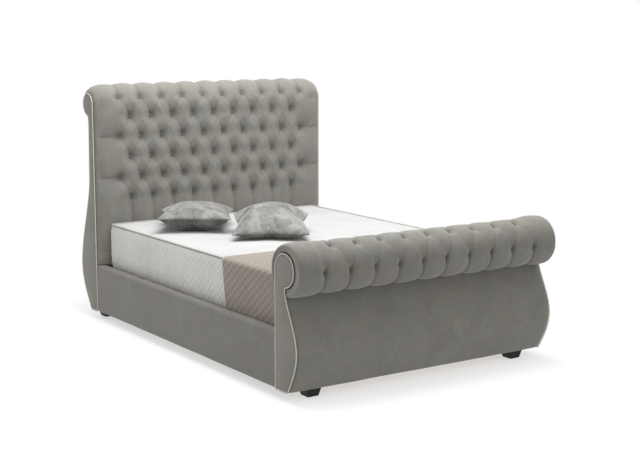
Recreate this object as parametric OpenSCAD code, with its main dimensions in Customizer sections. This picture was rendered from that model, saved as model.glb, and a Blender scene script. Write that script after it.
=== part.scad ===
// Upholstered sleigh bed: a tall scrolled headboard, a low scrolled footboard, padded side
// rails on a sprung slat base, and a mattress dressed with a throw and two cushions.
// +X is to the right seen from the foot, +Y runs from foot to head and +Z is up.
// The origin is on the floor, under the middle of the bed's box.

/* [Frame] */
// Width over the piping on the two side facings
bed_w = 1660; // [1600:10:1760]
// Length between the inner planes of the footboard and the headboard
inner_l = 2085; // [2080:5:2160]
// Height of the feet
foot_h = 46; // [40:2:80]
// Height of the side rails
rail_h = 295; // [280:5:340]
// Thickness of a covered side rail
rail_t = 56; // [50:1:60]

/* [Headboard] */
// Height of the scroll's centre above the headboard's bottom edge
head_scroll_z = 1285; // [1260:5:1340]
// Radius of the scroll on the side facing
head_scroll_r = 65; // [60:1:72]
// Radius of the padded roll
head_roll_r = 125; // [115:1:132]
// How far the tufted pad stands in front of the headboard's inner plane
head_pad_t = 42; // [30:1:42]
// Depth of the rear curve at its fullest
head_belly = 212; // [190:1:230]

/* [Footboard] */
// Height of the scroll's centre above the footboard's bottom edge
foot_scroll_z = 606; // [590:2:640]
// Radius of the scroll on the side facing
foot_scroll_r = 83; // [80:1:90]
// Radius of the padded roll
foot_roll_r = 131; // [122:1:132]
// Depth of the roll's axis behind the footboard's inner plane
foot_roll_d = 97; // [96:1:100]
// Depth of the outer curve at its fullest
foot_belly = 189; // [170:1:205]

/* [Tufting] */
// Distance between the buttons of one row on the headboard
head_pitch = 147; // [140:1:155]
// Distance between the buttons of one row on the footboard
foot_pitch = 150; // [140:1:155]
// Distance between the rows of buttons on the headboard
row_pitch = 126; // [120:1:130]
// Height of the lowest row of buttons
row_z = 750; // [740:1:760]
// Angle between the rows of buttons on the footboard's roll
roll_row_angle = 76; // [60:1:80]
// Radius of a covered button
button_r = 12; // [10:0.5:14]

/* [Slat base] */
// Height of the slats' upper faces
slat_top_z = 320; // [310:1:330]
// Number of slats on each side of the centre rail
slat_count = 14; // [10:1:16]
// Width of a slat
slat_w = 63; // [50:1:70]
// Thickness of a slat
slat_t = 9; // [8:1:12]

/* [Mattress] */
// Width of the mattress
mattress_w = 1500; // [1460:10:1500]
// Length of the mattress
mattress_l = 2000; // [1960:10:2000]
// Height of the mattress
mattress_h = 280; // [220:10:300]

/* [Throw and cushions] */
// Length of the throw along the bed
throw_l = 587; // [400:1:700]
// Thickness of the quilted throw
throw_t = 6; // [4:1:8]
// Side of a cushion
cushion_w = 440; // [400:5:460]
// Height of the cushion nearer the headboard
cushion_left_h = 160; // [120:5:165]
// Height of the cushion nearer the footboard
cushion_right_h = 190; // [150:5:190]

/* [Hidden] */
$fn = 64;
side_x = bed_w / 2;                  // outermost face of the piping
piping_r = 3;                        // half the width of the piping
piping_deep = 10;                    // piping and its flange, measured inwards
facing_x = side_x - 2;               // outer face of a side facing
facing_t = 14;
board_x = facing_x - facing_t;       // outer face of an end board
board_t = 18;
bay_x = board_x - board_t;           // inner face of an end board
skin_t = 12;                         // padded panels that close the boards

foot_reach = foot_roll_d + foot_roll_r;
head_reach = head_belly + piping_r;
foot_y = foot_reach - (foot_reach + inner_l + head_reach) / 2;
head_y = foot_y + inner_l;
curve_steps = 12;

head_base = 90;                      // depth of the headboard at its bottom edge
head_belly_z = 275;
head_stem = 67;                      // depth of the slim part below the scroll
head_stem_z = 845;
head_neck = 59;                      // depth where the rear curve meets the scroll
head_neck_z = head_scroll_z - 93;
head_roll_d = head_roll_r - head_pad_t - 1;
head_end_r = head_roll_d + 4;        // radius of the roll where it meets the facing
head_pad_top = head_scroll_z - 45;
head_pad_bottom = rail_h + 4;

foot_base = 106;
foot_belly_z = 212;
foot_neck = 85;
foot_neck_z = foot_scroll_z - 90;
foot_end_r = foot_roll_d + 2;
foot_inner_h = foot_neck_z - 9;        // height of the inner panel
edge_r = 36;                         // rounding of the front pad's side edges
pad_x = side_x - piping_deep;        // where pads and rolls meet the piping
roll_round = 42;                     // length over which a roll's end is rounded
head_roll_angle = 22;                // top row of buttons, above the roll's front
foot_roll_angle = -4;                // outermost row of buttons, below the roll's front

plank_t = 34;                        // timbers inside the boards
plank_h = 90;
strip_t = 30;                        // slimmer timbers inside the headboard
stile_w = 50;
stile_xs = [-bay_x, -270, 220, bay_x - stile_w];
head_rail_d = 42;                    // depth of the headboard's lower timbers
head_mid_z = 420;
foot_rail_d = 32;                    // depth of the footboard's lower timbers
foot_rail_t = 60;
foot_rail_h = 45;
foot_top_d = 24;                     // timber under the footboard's scroll
foot_top_t = 42;
foot_top_h = 80;
foot_top_z = foot_neck_z + 20 - foot_top_h;
former_t = 8;                        // wall of the tube inside a scroll

rail_x = facing_x - 2;               // outer face of a side rail
rail_skin = 10;
rail_in = rail_x - rail_t;           // inner face of a side rail
slat_z = slat_top_z - slat_t;
cap_l = 46;                          // length of a slat's holder
cap_h = 22;
cap_wall = 4;
cap_gap = 2;                         // between a holder and the rail's core
ledger_top = slat_top_z - cap_h + cap_wall;
ledger_h = 42;
ledger_w = 34;
centre_w = 56;
slat_x0 = cap_l / 2 + cap_wall;      // inner end of a slat
slat_x1 = rail_in - 12;              // outer end of a slat
slat_end_gap = 60;                   // from a board to the nearest slat
slat_pitch = (inner_l - 2 * slat_end_gap - slat_w) / (slat_count - 1);
leg_r = 20;
leg_pad_r = 28;
leg_pad_h = 12;
bolt_head_r = 8;
stud_r = 4;
stud_z = 20;                         // lower end of the studs, inside the feet
front_stud_l = foot_h + 15;
rear_stud_l = foot_h + 20;
rear_stud_in = 8;                    // from a rear foot's centre to its stud
bracket_t = 4;
bracket_w = 44;
bracket_h = 180;
bracket_z = foot_h + 20;
bolt_head_t = 5;
bolt_in = 30;                        // from a bracket's end to its bolt

front_foot_x = 667;
front_foot_d = 62;
rear_foot_x = 740;
rear_foot_d = 45;
foot_w = 65;                         // side of a foot at the floor
foot_top_w = 86;

lie_gap = 0.5;                       // clearance under what lies on something else
mattress_y = foot_y + 40;
mattress_z = slat_top_z + lie_gap;
mattress_top = mattress_z + mattress_h;
mattress_corner = 30;
border_t = 25;
panel_t = 30;
tape_h = 16;
tape_t = 2;
tape_in = 8;                         // from the mattress's faces to its tapes
throw_y = foot_y + 46;
throw_drop = mattress_top - (foot_h + rail_h) + 16;
cushion_left_at = [-395, foot_y + 1589];
cushion_right_at = [-161, foot_y + 1108];
cushion_turn = -32;

velvet = [0.50, 0.49, 0.47];
piping_cream = [0.80, 0.78, 0.70];
timber = [0.80, 0.66, 0.46];
plywood = [0.74, 0.60, 0.42];
steel = [0.62, 0.63, 0.65];
black = [0.08, 0.08, 0.08];
white = [0.93, 0.93, 0.91];
taupe = [0.62, 0.55, 0.48];
silver = [0.72, 0.72, 0.74];

// ---- Outlines: [depth outwards from the board's inner plane, height above its bottom] ----

function bezier(p, n) = [for (i = [0:n]) let (t = i / n, s = 1 - t)
    s * s * s * p[0] + 3 * s * s * t * p[1] + 3 * s * t * t * p[2] + t * t * t * p[3]];
function arc(centre, r, from, to, n) = [for (i = [0:n]) let (a = from + (to - from) * i / n)
    centre + r * [cos(a), sin(a)]];
function tail(list) = [for (i = [1:len(list) - 1]) list[i]];

// Moves every point of a counter-clockwise outline outwards by a distance.
function grown(p, by) = let (n = len(p)) [for (i = [0:n - 1])
    let (t = p[(i + 1) % n] - p[(i + n - 1) % n]) p[i] + by * [t[1], -t[0]] / norm(t)];

head_curve = concat(
    bezier([[head_base, 0], [head_base + 42, 71], [head_belly, head_belly_z - 122],
            [head_belly, head_belly_z]], curve_steps),
    tail(bezier([[head_belly, head_belly_z], [head_belly, head_belly_z + 173],
            [head_stem, head_stem_z - 163], [head_stem, head_stem_z]], curve_steps)),
    tail(bezier([[head_stem, head_stem_z], [head_stem, head_stem_z + 92],
            [head_neck - 3, head_neck_z - 72], [head_neck, head_neck_z]], curve_steps)));
foot_curve = concat(
    bezier([[foot_base, 0], [foot_base + 37, 61], [foot_belly, foot_belly_z - 80],
            [foot_belly, foot_belly_z]], curve_steps),
    tail(bezier([[foot_belly, foot_belly_z], [foot_belly, foot_belly_z + 104],
            [foot_neck, foot_neck_z - 81], [foot_neck, foot_neck_z]], curve_steps)));

head_scroll_at = [head_scroll_r, head_scroll_z];
foot_scroll_at = [foot_scroll_r, foot_scroll_z];
head_outline = concat([[0, 0]], head_curve, arc(head_scroll_at, head_scroll_r, -85, 180, 36));
foot_outline = concat([[0, 0]], foot_curve, arc(foot_scroll_at, foot_scroll_r, -85, 180, 36));

module head_board(x0, x1) {
    translate([x0, head_y, foot_h]) rotate([90, 0, 90]) linear_extrude(x1 - x0) children();
}
module foot_board(x0, x1) {
    translate([x0, foot_y, foot_h]) rotate([90, 0, 90]) linear_extrude(x1 - x0)
        mirror([1, 0]) children();
}
module left_side() { mirror([1, 0, 0]) children(); }
module both_sides() { children(); left_side() children(); }

// The layer of one thickness just inside the rear or outer curve of a board.
module curve_layer(curve, t) {
    inner = [for (i = [0:len(curve) - 1])
        let (a = curve[max(i - 1, 0)], b = curve[min(i + 1, len(curve) - 1)], d = b - a)
        curve[i] - t * [d[1], -d[0]] / norm(d)];
    intersection() {
        polygon(concat(curve, [for (i = [len(inner) - 1:-1:0]) inner[i]]));
        square([head_reach, curve[len(curve) - 1][1]]);
    }
}
module ring(outline) {
    difference() {
        polygon(grown(outline, piping_r));
        polygon(grown(outline, -piping_r));
    }
}
// What is left of a board's outline inside its padded panels.
module core_shape(outline, curve) {
    difference() {
        polygon(grown(outline, -skin_t));
        translate([0, -skin_t]) square([skin_t, 2 * head_scroll_z]);
        translate([0, -skin_t]) square([head_reach, skin_t]);
        curve_layer(curve, skin_t);
    }
}

// ---- Rolls ----

// A padded roll about the X axis whose ends are rounded down to the facing's edge.
module roll_solid(r, end_r, half_l) {
    bend = [for (a = [0:15:90])
        [end_r + (r - end_r) * sin(a), half_l - roll_round * (1 - cos(a))]];
    rotate([0, 90, 0]) rotate_extrude($fn = 96)
        polygon(concat([[0, half_l]], bend,
            [for (i = [len(bend) - 1:-1:0]) [bend[i][0], -bend[i][1]]], [[0, -half_l]]));
}
module head_roll_space() {
    translate([0, head_y + head_roll_d, foot_h + head_scroll_z])
        roll_solid(head_roll_r, head_end_r, pad_x);
}
module foot_roll_space() {
    translate([0, foot_y - foot_roll_d, foot_h + foot_scroll_z])
        roll_solid(foot_roll_r, foot_end_r, pad_x);
}

// ---- Buttons ----

// Places of the buttons of a row of ten or a row of nine.
function row_x(pitch, wide) = let (half = wide ? 4.5 : 4)
    [for (i = [-half:1:half]) i * pitch];
// A covered button whose crown is level with the pad that it is pulled into.
module button() {
    translate([0, 0, -6]) cylinder(h = 4, r = button_r, $fn = 32);
    translate([0, 0, -2]) cylinder(h = 2, r1 = button_r, r2 = button_r - 4, $fn = 32);
}
// A row of buttons on a roll; the angle is measured upwards from the side facing -Y.
module roll_buttons(r, angle, xs) {
    for (x = xs) translate([x, 0, 0]) rotate([90 - angle, 0, 0])
        translate([0, 0, r]) button();
}

// ---- Headboard ----

module head_end_board() {
    color(plywood) head_board(bay_x, board_x) core_shape(head_outline, head_curve);
}
module head_facing() {
    color(velvet) head_board(board_x, facing_x) polygon(grown(head_outline, -piping_r));
}
module head_piping() {
    color(piping_cream) head_board(side_x - piping_deep, side_x) ring(head_outline);
}
module head_bottom_rail() {
    color(timber) difference() {
        head_board(-bay_x, bay_x) translate([head_rail_d, 0]) square([plank_t, plank_h]);
        studs();
    }
}
module head_mid_rail() {
    color(timber) head_board(-bay_x, bay_x) translate([head_rail_d, head_mid_z])
        square([plank_t, plank_h]);
}
module head_top_rail() {
    color(timber) head_board(-bay_x, bay_x) translate([skin_t, head_neck_z - plank_h])
        square([strip_t, plank_h]);
}
module head_stiles() {
    color(timber) for (x = stile_xs) head_board(x, x + stile_w) translate([skin_t, 0])
        square([strip_t, head_neck_z - plank_h]);
}
module head_front_board() {
    color(plywood) head_board(-board_x, board_x) square([skin_t, head_neck_z]);
}
module head_front_pad() {
    color(velvet) intersection() {
        head_board(-pad_x, pad_x) translate([-head_pad_t, head_pad_bottom])
            square([head_pad_t, head_pad_top - head_pad_bottom]);
        translate([0, head_y, 0]) linear_extrude(2 * head_scroll_z) polygon(concat(
            [[-pad_x, 0]], arc([edge_r - pad_x, edge_r - head_pad_t], edge_r, 180, 270, 8),
            arc([pad_x - edge_r, edge_r - head_pad_t], edge_r, 270, 360, 8), [[pad_x, 0]]));
    }
}
module head_roll_pad() {
    color(velvet) difference() {
        union() {
            head_roll_space();
            head_board(-bay_x, bay_x) translate([-head_pad_t, head_pad_top])
                square([head_pad_t, head_scroll_z - head_pad_top]);
        }
        head_board(-board_x, board_x) {
            core_shape(head_outline, head_curve);
            translate(head_scroll_at) circle(head_scroll_r - skin_t);
        }
        head_board(-side_x, side_x) translate([-head_roll_r, 0])
            square([head_roll_r, head_pad_top]);
        head_board(-side_x, side_x) intersection() {
            polygon(head_outline);
            square([head_neck + 1, head_neck_z]);
        }
        both_sides() head_board(board_x, side_x) polygon(grown(head_outline, -piping_r));
    }
}
module head_scroll_former() {
    color(plywood) head_board(-bay_x, bay_x) translate(head_scroll_at) difference() {
        circle(head_scroll_r - skin_t);
        circle(head_scroll_r - skin_t - former_t);
    }
}
module head_buttons() {
    color(velvet) {
        for (i = [0:4], x = row_x(head_pitch, i % 2 == 1))
            translate([x, head_y - head_pad_t, row_z + i * row_pitch])
                rotate([90, 0, 0]) button();
        translate([0, head_y + head_roll_d, foot_h + head_scroll_z])
            roll_buttons(head_roll_r, head_roll_angle, row_x(head_pitch, true));
    }
}
module head_back_cover() {
    color(velvet) head_board(-board_x, board_x) curve_layer(head_curve, skin_t);
}

// ---- Footboard ----

module foot_end_board() {
    color(plywood) foot_board(bay_x, board_x) core_shape(foot_outline, foot_curve);
}
module foot_facing() {
    color(velvet) foot_board(board_x, facing_x) polygon(grown(foot_outline, -piping_r));
}
module foot_piping() {
    color(piping_cream) foot_board(side_x - piping_deep, side_x) ring(foot_outline);
}
module foot_bottom_rail() {
    color(timber) difference() {
        foot_board(-bay_x, bay_x) translate([foot_rail_d, 0])
            square([foot_rail_t, foot_rail_h]);
        studs();
    }
}
module foot_top_rail() {
    color(timber) foot_board(-bay_x, bay_x) difference() {
        translate([foot_top_d, foot_top_z]) square([foot_top_t, foot_top_h]);
        translate(foot_scroll_at) circle(foot_scroll_r - skin_t);
    }
}
module foot_stiles() {
    color(timber) for (x = stile_xs) foot_board(x, x + stile_w)
        translate([foot_rail_d, foot_rail_h])
            square([plank_t, foot_top_z - foot_rail_h]);
}
module foot_inner_panel() {
    color(velvet) foot_board(-board_x, board_x) square([skin_t, foot_inner_h]);
}
module foot_outer_panel() {
    color(velvet) foot_board(-board_x, board_x) curve_layer(foot_curve, skin_t);
}
module foot_roll_pad() {
    color(velvet) difference() {
        foot_roll_space();
        foot_board(-board_x, board_x) {
            core_shape(foot_outline, foot_curve);
            translate(foot_scroll_at) circle(foot_scroll_r - skin_t);
        }
        foot_board(-side_x, side_x) intersection() {
            polygon(foot_outline);
            square([foot_belly, foot_neck_z]);
        }
        both_sides() foot_board(board_x, side_x) polygon(grown(foot_outline, -piping_r));
    }
}
module foot_scroll_former() {
    color(plywood) foot_board(-bay_x, bay_x) translate(foot_scroll_at) difference() {
        circle(foot_scroll_r - skin_t);
        circle(foot_scroll_r - skin_t - former_t);
    }
}
module foot_buttons() {
    color(velvet) translate([0, foot_y - foot_roll_d, foot_h + foot_scroll_z])
        for (i = [0:2])
            roll_buttons(foot_roll_r, foot_roll_angle + i * roll_row_angle,
                row_x(foot_pitch, i % 2 == 0));
}

// ---- Side rails ----

module rail_box(inset, short) {
    translate([rail_in + inset, foot_y + short, foot_h + inset])
        cube([rail_t - 2 * inset, inner_l - 2 * short, rail_h - 2 * inset]);
}
module rail_core() { color(timber) rail_box(rail_skin, 0); }
module rail_cover() {
    color(velvet) difference() {
        rail_box(0, piping_r);
        rail_box(rail_skin, 0);
    }
}
module slat_ledger() {
    color(timber) translate([rail_in - ledger_w, foot_y + bracket_w, ledger_top - ledger_h])
        cube([ledger_w, inner_l - 2 * bracket_w, ledger_h]);
}
// The corner plate of one rail end: one leg on the rail and one on the board.
module corner_plate() {
    cube([bracket_t, bracket_w, bracket_h]);
    translate([-bracket_w + bracket_t, 0, 0]) cube([bracket_w, bracket_t, bracket_h]);
}
module at_rail_ends() {
    both_sides() translate([rail_in - bracket_t, foot_y, bracket_z]) children();
    both_sides() translate([rail_in - bracket_t, head_y, bracket_z]) mirror([0, 1, 0])
        children();
}
module rail_brackets() { color(steel) at_rail_ends() corner_plate(); }
module rail_bolts() {
    color(steel) at_rail_ends() for (z = [bolt_in, bracket_h - bolt_in]) {
        translate([0, bracket_w / 2 + bracket_t, z]) rotate([0, -90, 0])
            cylinder(h = bolt_head_t, r = bolt_head_r, $fn = 32);
        translate([-bracket_w / 2, bracket_t, z]) rotate([-90, 0, 0])
            cylinder(h = bolt_head_t, r = bolt_head_r, $fn = 32);
    }
}

// ---- Slat base ----

module centre_rail() {
    color(timber) translate([-centre_w / 2, foot_y + bracket_t, ledger_top - ledger_h])
        cube([centre_w, inner_l - 2 * bracket_t, ledger_h]);
}
module centre_hanger() {
    translate([-centre_w / 2 - bracket_t, 0, 0]) cube([centre_w + 2 * bracket_t, bracket_t,
        ledger_h + bracket_t]);
    translate([-centre_w / 2 - bracket_t, 0, 0])
        cube([centre_w + 2 * bracket_t, bracket_w, bracket_t]);
    for (x = [-centre_w / 2 - bracket_t, centre_w / 2]) translate([x, 0, 0])
        cube([bracket_t, bracket_w, ledger_h + bracket_t]);
}
module centre_rail_brackets() {
    color(steel) {
        translate([0, foot_y, ledger_top - ledger_h - bracket_t]) centre_hanger();
        translate([0, head_y, ledger_top - ledger_h - bracket_t]) mirror([0, 1, 0])
            centre_hanger();
    }
}
module centre_legs() {
    color(black) for (y = [inner_l / 3, 2 * inner_l / 3]) translate([0, foot_y + y, 0]) {
        cylinder(h = leg_pad_h, r = leg_pad_r);
        cylinder(h = ledger_top - ledger_h, r = leg_r);
    }
}
slat_ys = [for (i = [0:slat_count - 1]) foot_y + slat_end_gap + i * slat_pitch];
module slats() {
    color(timber) for (y = slat_ys) translate([slat_x0, y, slat_z])
        cube([slat_x1 - slat_x0, slat_w, slat_t]);
}
// A holder with a pocket that takes the end of a slat.
module slat_cap(x0, x1) {
    for (y = slat_ys) difference() {
        translate([x0, y - cap_wall, ledger_top])
            cube([x1 - x0, slat_w + 2 * cap_wall, cap_h - cap_wall]);
        slats();
        left_side() slats();
    }
}
module slat_caps_side() {
    color(black) both_sides() slat_cap(rail_in - cap_l, rail_in - cap_gap);
}
module slat_caps_centre() { color(black) slat_cap(-cap_l, cap_l); }

// ---- Feet ----

module foot_block() {
    trapezoid = [[-foot_w / 2, 0], [foot_w / 2, 0], [foot_top_w / 2, foot_h],
                 [-foot_top_w / 2, foot_h]];
    intersection() {
        rotate([90, 0, 90]) linear_extrude(foot_top_w, center = true) polygon(trapezoid);
        rotate([90, 0, 0]) linear_extrude(foot_top_w, center = true) polygon(trapezoid);
    }
}
module studs() {
    for (x = [-front_foot_x, front_foot_x])
        translate([x, foot_y - front_foot_d, stud_z]) cylinder(h = front_stud_l, r = stud_r);
    for (x = [-rear_foot_x, rear_foot_x])
        translate([x, head_y + rear_foot_d + rear_stud_in, stud_z])
            cylinder(h = rear_stud_l, r = stud_r);
}
module front_foot() {
    color(black) difference() {
        translate([front_foot_x, foot_y - front_foot_d, 0]) foot_block();
        studs();
    }
}
module rear_foot() {
    color(black) difference() {
        translate([rear_foot_x, head_y + rear_foot_d, 0]) foot_block();
        studs();
    }
}
module foot_studs() { color(steel) studs(); }

// ---- Mattress ----

module mattress_slab(inset, z0, z1) {
    r = mattress_corner - inset;
    w = mattress_w / 2 - inset;
    translate([0, mattress_y + mattress_l / 2, mattress_z + z0]) linear_extrude(z1 - z0)
        polygon(concat(
            arc([w - r, mattress_l / 2 - inset - r], r, 0, 90, 8),
            arc([r - w, mattress_l / 2 - inset - r], r, 90, 180, 8),
            arc([r - w, r + inset - mattress_l / 2], r, 180, 270, 8),
            arc([w - r, r + inset - mattress_l / 2], r, 270, 360, 8)));
}
module mattress_ring(inset, t, z0, z1) {
    difference() {
        mattress_slab(inset, z0, z1);
        mattress_slab(inset + t, z0 - 1, z1 + 1);
    }
}
module mattress_spring_unit() {
    color(steel) mattress_slab(tape_t + border_t, panel_t, mattress_h - panel_t);
}
module mattress_top_panel() {
    color(white) mattress_slab(tape_t, mattress_h - panel_t, mattress_h);
}
module mattress_bottom_panel() { color(white) mattress_slab(tape_t, 0, panel_t); }
module mattress_border() {
    color(white) mattress_ring(tape_t, border_t, panel_t, mattress_h - panel_t);
}
module mattress_tape_top() {
    color(white) mattress_ring(0, tape_t, mattress_h - tape_in - tape_h, mattress_h - tape_in);
}
module mattress_tape_bottom() {
    color(white) mattress_ring(0, tape_t, tape_in, tape_in + tape_h);
}

// ---- Throw and cushions ----

module throw() {
    half = mattress_w / 2 + 2;
    z = mattress_top + lie_gap;
    color(taupe) translate([0, throw_y + throw_l, 0]) rotate([90, 0, 0])
        linear_extrude(throw_l) polygon([
            [-half - throw_t, z - throw_drop], [-half, z - throw_drop], [-half, z],
            [half, z], [half, z - throw_drop], [half + throw_t, z - throw_drop],
            [half + throw_t, z + throw_t], [-half - throw_t, z + throw_t]]);
}
// A crowned square cushion lying flat, fuller above its seam than below it.
module cushion(at, h) {
    seam = 0.45 * h;
    edge = 0.1 * h;
    under = [for (i = [-8:8]) [i / 16 * cushion_w, (seam - edge) * (1 - cos(90 * i / 8))]];
    over = [for (i = [8:-1:-8])
        [i / 16 * cushion_w, seam + edge + (h - seam - edge) * cos(90 * i / 8)]];
    translate([at[0], at[1], mattress_top + lie_gap]) rotate([0, 0, cushion_turn]) intersection() {
        rotate([90, 0, 90]) linear_extrude(cushion_w, center = true) polygon(concat(under, over));
        rotate([90, 0, 0]) linear_extrude(cushion_w, center = true) polygon(concat(under, over));
    }
}
module cushion_left() {
    color(silver) cushion(cushion_left_at, cushion_left_h);
}
module cushion_right() {
    color(silver) cushion(cushion_right_at, cushion_right_h);
}

left_side() head_end_board();  // head_end_board_left
head_end_board();  // head_end_board_right
left_side() head_facing();  // head_facing_left
head_facing();  // head_facing_right
left_side() head_piping();  // head_piping_left
head_piping();  // head_piping_right
head_bottom_rail();
head_mid_rail();
head_top_rail();
head_stiles();
head_front_board();
head_front_pad();
head_roll_pad();
head_scroll_former();
head_buttons();
head_back_cover();
left_side() foot_end_board();  // foot_end_board_left
foot_end_board();  // foot_end_board_right
left_side() foot_facing();  // foot_facing_left
foot_facing();  // foot_facing_right
left_side() foot_piping();  // foot_piping_left
foot_piping();  // foot_piping_right
foot_bottom_rail();
foot_top_rail();
foot_stiles();
foot_inner_panel();
foot_outer_panel();
foot_roll_pad();
foot_scroll_former();
foot_buttons();
left_side() rail_core();  // rail_core_left
rail_core();  // rail_core_right
left_side() rail_cover();  // rail_cover_left
rail_cover();  // rail_cover_right
left_side() slat_ledger();  // slat_ledger_left
slat_ledger();  // slat_ledger_right
rail_brackets();
rail_bolts();
centre_rail();
centre_rail_brackets();
centre_legs();
left_side() slats();  // slats_left
slats();  // slats_right
slat_caps_side();
slat_caps_centre();
left_side() front_foot();  // front_foot_left
front_foot();  // front_foot_right
left_side() rear_foot();  // rear_foot_left
rear_foot();  // rear_foot_right
foot_studs();
mattress_spring_unit();
mattress_top_panel();
mattress_bottom_panel();
mattress_border();
mattress_tape_top();
mattress_tape_bottom();
throw();
cushion_left();
cushion_right();
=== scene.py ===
"""Looks of the upholstered sleigh bed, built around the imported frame.

Lengths are in metres in the frame's own axes: +X right seen from the foot, +Y from foot to
head, +Z up. The outlines of the two boards are given as (depth outwards from the board's
inner plane, height above the board's bottom edge).
"""

import math

import bmesh
import bpy
import numpy as np
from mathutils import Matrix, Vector


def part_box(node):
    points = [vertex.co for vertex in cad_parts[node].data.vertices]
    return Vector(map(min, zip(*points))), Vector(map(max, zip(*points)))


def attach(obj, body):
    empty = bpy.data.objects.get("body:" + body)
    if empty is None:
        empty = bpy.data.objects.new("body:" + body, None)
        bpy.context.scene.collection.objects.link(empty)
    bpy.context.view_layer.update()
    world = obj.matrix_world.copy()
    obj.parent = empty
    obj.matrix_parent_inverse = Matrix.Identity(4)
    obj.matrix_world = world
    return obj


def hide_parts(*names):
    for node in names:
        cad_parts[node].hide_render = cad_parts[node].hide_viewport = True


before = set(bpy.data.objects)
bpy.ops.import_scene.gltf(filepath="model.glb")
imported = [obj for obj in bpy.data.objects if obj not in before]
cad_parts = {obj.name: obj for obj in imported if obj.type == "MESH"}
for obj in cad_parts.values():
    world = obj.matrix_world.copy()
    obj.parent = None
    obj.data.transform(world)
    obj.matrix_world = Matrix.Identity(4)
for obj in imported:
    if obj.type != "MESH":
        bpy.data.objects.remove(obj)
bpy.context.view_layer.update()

# ---- Sizes taken from the frame ---------------------------------------------------------

SIDE_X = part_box("foot_piping_right")[1].x
PAD_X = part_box("foot_roll_pad")[1].x
FACING_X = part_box("foot_facing_right")[1].x
BOARD_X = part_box("foot_outer_panel")[1].x
FOOT_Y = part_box("foot_inner_panel")[1].y
HEAD_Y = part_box("head_front_board")[0].y
FOOT_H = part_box("foot_outer_panel")[0].z
MATTRESS_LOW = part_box("mattress_bottom_panel")[0]
MATTRESS_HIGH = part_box("mattress_top_panel")[1]
THROW_LOW, THROW_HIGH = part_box("throw")

PAD_T = HEAD_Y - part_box("head_front_pad")[0].y
PAD_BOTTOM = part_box("head_front_pad")[0].z

HEAD_SCROLL = (0.065, 1.285, 0.065)  # depth, height and radius of the scroll
HEAD_ROLL = (0.082, 1.285, 0.124)
FOOT_SCROLL = (0.083, 0.606, 0.083)
FOOT_ROLL = (0.097, 0.606, 0.132)
HEAD_ROUND = 0.105                   # length over which the headboard roll's ends are rounded
FOOT_ROUND = 0.034
CORD_R = 0.0030

HEAD_PITCH = 0.147                   # between the buttons of one row
FOOT_PITCH = 0.150
HEAD_ROW = 0.126                     # between the rows on the headboard
HEAD_ROW_Z = 0.750                   # lowest row
HEAD_ROWS = 6
FOOT_ROW_ANGLE = 76.0
FOOT_FIRST_ANGLE = -4.0
BUTTON_R = 0.0125


# ---- Mesh helpers -----------------------------------------------------------------------

def new_object(name, data):
    """A new object in the scene."""
    thing = bpy.data.objects.new(name, data)
    bpy.context.scene.collection.objects.link(thing)
    return thing


def add_mesh(name, verts, faces, material, body="bed_frame", smooth=True):
    """Makes an object from points, in a list or a grid, and lets it ride on a body."""
    mesh = bpy.data.meshes.new(name)
    mesh.from_pydata([tuple(v) for v in np.reshape(verts, (-1, 3))], [], [tuple(f) for f in faces])
    mesh.validate()
    mesh.materials.append(material)
    piece = new_object(name, mesh)
    if smooth:
        mesh.shade_smooth()
    else:
        mesh.shade_flat()
    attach(piece, body)
    return piece


def mark_hollow_shade(piece, values):
    """Stores how deep each point lies, 0 to 1, for the painted shade that darkens the velvet in its
    pits, pleats and seams.
    """
    hollow_shade = piece.data.attributes.new("hollow_shade", "FLOAT", "POINT")
    hollow_shade.data.foreach_set("value", values.reshape(-1))


def grid_faces(nu, nv, wrap_u=False, wrap_v=False, start=0):
    """Quads of a grid of nu x nv points stored row by row."""
    u = np.arange(nu if wrap_u else nu - 1)
    v = np.arange(nv if wrap_v else nv - 1)
    uu, vv = np.meshgrid(u, v, indexing="ij")
    a = uu * nv + vv
    b = ((uu + 1) % nu) * nv + vv
    c = ((uu + 1) % nu) * nv + (vv + 1) % nv
    d = uu * nv + (vv + 1) % nv
    return (np.stack([a, b, c, d], -1).reshape(-1, 4) + start).tolist()


def smooth_step(t):
    """Eases from 0 to 1 as t runs from 0 to 1."""
    t = np.clip(t, 0.0, 1.0)
    return t * t * (3 - 2 * t)


def ripple(u, v, scale, seed):
    """Smooth unevenness between -1 and 1, about one wave per scale metres."""
    draw = np.random.default_rng(seed)
    total = np.zeros(np.broadcast(u, v).shape)
    for _ in range(7):
        turn, phase, size = draw.uniform(0, 2 * math.pi, 3)
        k = 2 * math.pi / (scale * (0.6 + 0.15 * size))
        total += np.sin(k * (u * math.cos(turn) + v * math.sin(turn)) + phase)
    return total / 4.0


def grid_normals(points):
    """Unit normals of a grid of points, dP/du x dP/dv."""
    du = np.gradient(points, axis=0)
    dv = np.gradient(points, axis=1)
    n = np.cross(du, dv)
    return n / np.maximum(np.linalg.norm(n, axis=-1, keepdims=True), 1e-12)


# ---- Outlines ---------------------------------------------------------------------------

def bezier(p, n):
    """n + 1 points along a cubic curve."""
    t = np.linspace(0, 1, n + 1)[:, None]
    p = np.array(p, float)
    return ((1 - t) ** 3 * p[0] + 3 * (1 - t) ** 2 * t * p[1]
            + 3 * (1 - t) * t * t * p[2] + t ** 3 * p[3])


def arc(cx, cz, r, start, stop, n):
    """n + 1 points along an arc, with its angles in degrees."""
    a = np.radians(np.linspace(start, stop, n + 1))
    return np.stack([cx + r * np.cos(a), cz + r * np.sin(a)], -1)


def join(*runs):
    """Runs of points that share their end points, as one run."""
    return np.concatenate([runs[0]] + [r[1:] for r in runs[1:]])


def head_curve(n):
    """Rear curve of the headboard from its bottom edge up to the neck."""
    return join(
        bezier([(0.090, 0), (0.132, 0.071), (0.212, 0.153), (0.212, 0.275)], n),
        bezier([(0.212, 0.275), (0.212, 0.448), (0.067, 0.682), (0.067, 0.845)], n),
        bezier([(0.067, 0.845), (0.067, 0.937), (0.056, 1.120), (0.059, 1.192)], n))


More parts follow.
